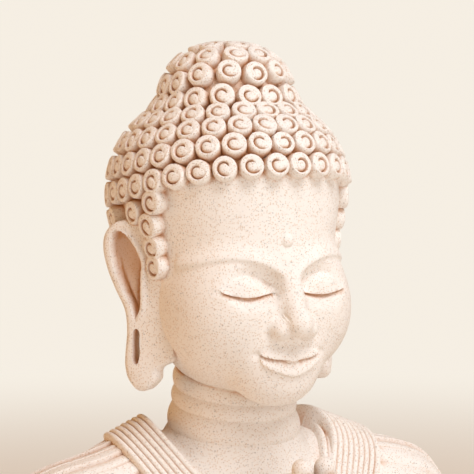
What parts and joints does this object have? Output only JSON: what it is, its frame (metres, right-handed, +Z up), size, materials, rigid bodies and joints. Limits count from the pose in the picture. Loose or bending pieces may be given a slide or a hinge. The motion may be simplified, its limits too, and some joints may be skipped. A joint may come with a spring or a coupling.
{
  "type": "praying buddha bust",
  "caption": "Bust of a praying Buddha with snail-curl hair, long slit ear lobes, joined palms and a pleated robe, cast in speckled sandstone resin and cut flat below.",
  "frame": {"origin": "middle of the bounding box's underside, on the flat cut the bust stands on", "axes": "+Z up, -Y the way the face looks, +X to the figure's left"},
  "size_m": [0.104, 0.0688, 0.1267],
  "materials": {
    "sandstone": "matte, speckled"
  },
  "bodies": {
    "root": {"buddha_bust": "sandstone"}
  },
  "joints": []
}
